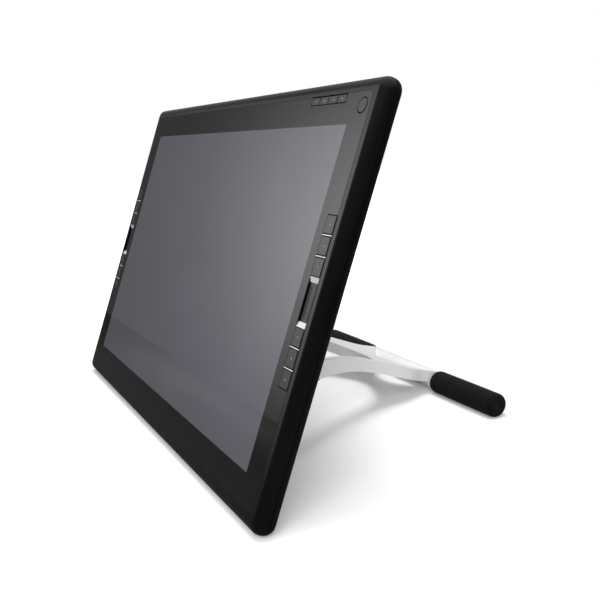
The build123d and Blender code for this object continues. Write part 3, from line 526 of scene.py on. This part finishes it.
# Grips: closed-cell foam sleeves with rounded ends, pushed over the ends of the rod. They
# stand for the plain grips of the CAD and give a little in the hand.
GRIP_ROUND = 0.0055
GRIP_BORE = 0.00502
GRIP_BORE_DEPTH = 0.081
MOUTH_BEVEL = 0.0006
GRIP_SWELL = 0.012
RIPPLE_SHARE, RIPPLE_TURNS = 0.0015, 1400
DIMPLE_RADII, DIMPLE_DEPTH = (0.0042, 0.0036), 0.0004
FOAM_STOPS = [(0.3, (0.0024, 0.0029, 0.0025)), (0.75, (0.0052, 0.0057, 0.005))]
FOAM_CELLS, FOAM_MOTTLE = 1500.0, 60.0
PORE_RELIEF, PORE_HEIGHT = 0.55, 0.0003
WAVE_RELIEF, WAVE_HEIGHT = 0.25, 0.0006
foam, foam_shader, add, link = new_material("grip_foam")
coords = add("ShaderNodeTexCoord").outputs["Object"]
cells = add("ShaderNodeTexVoronoi", Scale=FOAM_CELLS)
link(coords, cells.inputs["Vector"])
mottle = noise(add, link, coords, FOAM_MOTTLE, 5.0, 0.65)
link(colour_ramp(add, link, mottle, FOAM_STOPS), foam_shader.inputs["Base Color"])
pores = bump(add, link, cells.outputs["Distance"], PORE_RELIEF, PORE_HEIGHT)
waves = bump(add, link, mottle, WAVE_RELIEF, WAVE_HEIGHT)
link(waves.outputs["Normal"], pores.inputs["Normal"])
link(pores.outputs["Normal"], foam_shader.inputs["Normal"])
set_shader(foam_shader, Roughness=0.75, Sheen_Weight=0.03, Sheen_Roughness=0.5, IOR=1.3)


def grip_sleeve(low, high, side):
    """A foam sleeve as a surface of revolution about the rod: its radius follows a profile that runs from
    the bore's blind end out through the mouth, over the rounded end, along the sleeve, which swells by
    about a hundredth of its radius between slight ripples, and round the closed end to a shallow dimple."""
    radius = (high.z - low.z) / 2
    middle = ((low.y + high.y) / 2, (low.z + high.z) / 2)
    length = high.x - low.x
    quarter = np.linspace(0, np.pi / 2, 9)
    flank = np.linspace(GRIP_ROUND, length - GRIP_ROUND, 61)
    share = np.sin(np.pi * (flank - GRIP_ROUND) / (length - 2 * GRIP_ROUND))
    swelling = 1 - GRIP_SWELL + GRIP_SWELL * share
    ripple = radius * swelling * (1 - RIPPLE_SHARE * share * (1 + np.cos(flank * RIPPLE_TURNS)))
    rounding = GRIP_ROUND * (1 - np.sin(quarter))
    along = np.concatenate(([GRIP_BORE_DEPTH, GRIP_BORE_DEPTH, MOUTH_BEVEL, 0.0, 0.0], rounding[::-1],
                            flank, length - rounding, [length, length - DIMPLE_DEPTH, length - DIMPLE_DEPTH]))
    shrink = radius * (1 - GRIP_SWELL) - GRIP_ROUND
    shoulder = shrink + GRIP_ROUND * np.cos(quarter)
    reach = np.concatenate(([0.0, GRIP_BORE, GRIP_BORE, GRIP_BORE + MOUTH_BEVEL, shrink], shoulder[::-1],
                            ripple, shoulder, [*DIMPLE_RADII, 0.0]))
    order = np.arange(len(along))
    s, angle = np.meshgrid(order, np.linspace(0, 2 * np.pi, 65), indexing="ij")
    start = low.x if side > 0 else high.x
    x = start + side * along[s]
    return np.stack((x, middle[0] + reach[s] * np.cos(angle), middle[1] + reach[s] * np.sin(angle)), axis=-1)


for side, word in ((1, "right"), (-1, "left")):
    node = f"grip_{word}"
    sleeve = grid_piece(f"{node}_sleeve", [grip_sleeve(*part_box(node), side)], foam, "folding_leg")
    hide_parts(node)

# Floor: a plain white table top that keeps the object's shadow and runs out into white. What the object
# mirrors of it is a painted reflection: a dark floor with a painted pool of light far out towards the window.
FLOOR_HALF = 5.0
FADE_SPAN, FADE_GLOW = (0.28, 0.7), (0.14, 1.0)
POOL_EDGE, POOL_START = (0.95, 0.995), (0.5, 2.5)
WINDOW_TURN = math.radians(220)
# painted reflection: the floor is dark in reflections, with a painted bright pool towards the window
FLOOR_MIRRORED, PAINTED_POOL_MIRRORED = (0.1, 0.1, 0.1, 1), (0.55, 0.55, 0.55, 1)
FLOOR_DIFFUSE, FLOOR_SEEN = (0.62, 0.62, 0.62, 1), (0.86, 0.86, 0.86, 1)
floor_mesh = bpy.data.meshes.new("floor")
floor_mesh.from_pydata([(-FLOOR_HALF, -FLOOR_HALF, 0), (FLOOR_HALF, -FLOOR_HALF, 0),
                        (FLOOR_HALF, FLOOR_HALF, 0), (-FLOOR_HALF, FLOOR_HALF, 0)], [], [(0, 1, 2, 3)])
floor = bpy.data.objects.new("floor", floor_mesh)
bpy.context.scene.collection.objects.link(floor)
floor_paint, floor_shader, add, link = new_material("floor_white")
set_shader(floor_shader, Roughness=1.0, Specular_IOR_Level=0.0, Emission_Color=(1, 1, 1, 1))
floor_path = add("ShaderNodeLightPath").outputs
seen = worked(add, link, "MAXIMUM", floor_path["Is Camera Ray"], floor_path["Is Transmission Ray"])
coords = add("ShaderNodeTexCoord").outputs["Object"]
distance = add("ShaderNodeVectorMath", operation="LENGTH")
link(coords, distance.inputs[0])
away = distance.outputs["Value"]
fade = map_range(add, link, away, FADE_SPAN, FADE_GLOW, interpolation_type="SMOOTHSTEP")
link(worked(add, link, "MULTIPLY", seen, fade), floor_shader.inputs["Emission Strength"])
outward = add("ShaderNodeVectorMath", operation="NORMALIZE")
link(coords, outward.inputs[0])
facing = add("ShaderNodeVectorMath", operation="DOT_PRODUCT")
facing.inputs[1].default_value = (math.cos(WINDOW_TURN), math.sin(WINDOW_TURN), 0)
link(outward.outputs["Vector"], facing.inputs[0])
pool = map_range(add, link, facing.outputs["Value"], POOL_EDGE, interpolation_type="SMOOTHSTEP")
afar = map_range(add, link, away, POOL_START, interpolation_type="SMOOTHSTEP")
# painted reflection: a bright pool of light is painted into what glossy rays see of the floor
painted_pool_light = worked(add, link, "MULTIPLY", pool, afar)
shown = blended(add, link, "RGBA", painted_pool_light, FLOOR_MIRRORED, PAINTED_POOL_MIRRORED)
mirrored = blended(add, link, "RGBA", floor_path["Is Glossy Ray"], FLOOR_DIFFUSE, shown)
link(blended(add, link, "RGBA", seen, mirrored, FLOOR_SEEN), floor_shader.inputs["Base Color"])
floor_mesh.materials.append(floor_paint)

# Room: white to the camera. The glossy parts mirror a dim room that brightens upwards, with
# one soft bright window in front of the glass and a fainter one that the top rim mirrors.
ROOM_LEVEL = 0.45
ROOM_RISE, ROOM_TONE = (0.36, 1.0), (0.13, 1.0)
WINDOW_RISE = math.tan(math.radians(18))
WINDOW_EDGE, WINDOW_LEVEL, WINDOW_FALL = 0.867, 3.7, 4.2
RIM_TURN = math.radians(158)
RIM_EDGE, RIM_LEVEL = 0.87, 0.2
world = bpy.data.worlds.new("studio")
bpy.context.scene.world = world
world.use_nodes = True
background = world.node_tree.nodes["Background"]
background.inputs["Color"].default_value = (1, 1, 1, 1)
add, link = node_maker(world.node_tree), world.node_tree.links.new
path = add("ShaderNodeLightPath").outputs
direction = add("ShaderNodeTexCoord").outputs["Generated"]
height = add("ShaderNodeSeparateXYZ")
link(direction, height.inputs[0])
rise = map_range(add, link, height.outputs["Z"], ROOM_RISE, ROOM_TONE, interpolation_type="SMOOTHSTEP")


def facing_window(turn, edge, level):
    """Nothing outside a window's edge, rising to the level at its middle, which stands 18 degrees up."""
    towards = add("ShaderNodeVectorMath", operation="DOT_PRODUCT")
    towards.inputs[1].default_value = Vector((math.cos(turn), math.sin(turn), WINDOW_RISE)).normalized()
    link(direction, towards.inputs[0])
    return map_range(add, link, towards.outputs["Value"], (edge, 1.0), (0.0, level))


soften = worked(add, link, "POWER", facing_window(WINDOW_TURN, WINDOW_EDGE, 1.0), WINDOW_FALL)
gloss_level = worked(add, link, "MULTIPLY_ADD", soften, WINDOW_LEVEL, rise)
both = worked(add, link, "ADD", gloss_level, facing_window(RIM_TURN, RIM_EDGE, RIM_LEVEL))
lit = blended(add, link, "FLOAT", path["Is Glossy Ray"], ROOM_LEVEL, both)
seen = worked(add, link, "MAXIMUM", path["Is Camera Ray"], path["Is Transmission Ray"])
link(blended(add, link, "FLOAT", seen, lit, 1.0), background.inputs["Strength"])

# Lamps: a soft one overhead that throws the shadow under the tablet, and a second at the
# right front that lights the tablet's edge and the leg. Neither is mirrored.
OVERHEAD_PLACE, OVERHEAD_TARGET = (0.1, -0.12, 1.7), (0, 0, 0.1)
OVERHEAD_SIZE, OVERHEAD_POWER = 0.75, 17.5
RIGHT_PLACE, RIGHT_TARGET = (0.85, -0.6, 0.7), (0.2, -0.05, 0.12)
RIGHT_SIZE, RIGHT_POWER = 0.7, 9.0


def softbox(name, place, target, size, power):
    """A square flat lamp that faces its target."""
    data = bpy.data.lights.new(name, "AREA")
    data.shape = "RECTANGLE"
    data.size, data.size_y = size, size
    data.energy = power
    lamp = bpy.data.objects.new(name, data)
    lamp.location = place
    lamp.rotation_euler = (Vector(target) - Vector(place)).to_track_quat("-Z", "Y").to_euler()
    lamp.visible_glossy = False
    bpy.context.scene.collection.objects.link(lamp)


softbox("lamp_overhead", OVERHEAD_PLACE, OVERHEAD_TARGET, OVERHEAD_SIZE, OVERHEAD_POWER)
softbox("lamp_right", RIGHT_PLACE, RIGHT_TARGET, RIGHT_SIZE, RIGHT_POWER)

# Camera: to the right of the tablet and a little above it, at the photograph's angle. Its
# place and its three directions are given in the glass's own axes.
FOCAL_PIXELS = 725.684
PICTURE_PIXELS = 600
CENTRE_PIXELS = (320.10, 316.89)
CAMERA_PANEL = Vector((0.6456, 0.0187, 0.2558))
CAMERA_RIGHT = Vector((0.5014329, 0.27829479, -0.81921734))
CAMERA_DOWN = Vector((0.18865194, -0.95924246, -0.21039092))
CAMERA_FORWARD = Vector((-0.84437876, -0.04905001, -0.53349659))
SENSOR = 36.0


def to_frame(vector):
    """A direction in the glass's own axes turned into the object's frame."""
    return Matrix.Rotation(PANEL_TURN, 3, "X") @ vector


camera_data = bpy.data.cameras.new("camera")
camera_data.sensor_width = SENSOR
camera_data.lens = SENSOR * FOCAL_PIXELS / PICTURE_PIXELS
camera_data.shift_x = (PICTURE_PIXELS / 2 - CENTRE_PIXELS[0]) / PICTURE_PIXELS
camera_data.shift_y = (CENTRE_PIXELS[1] - PICTURE_PIXELS / 2) / PICTURE_PIXELS
camera = bpy.data.objects.new("camera", camera_data)
axes = Matrix((to_frame(CAMERA_RIGHT), -to_frame(CAMERA_DOWN), -to_frame(CAMERA_FORWARD))).transposed()
camera.matrix_world = Matrix.Translation(GLASS_CENTRE + to_frame(CAMERA_PANEL)) @ axes.to_4x4()
bpy.context.scene.collection.objects.link(camera)
bpy.context.scene.camera = camera
bpy.context.scene.view_settings.view_transform = "Standard"
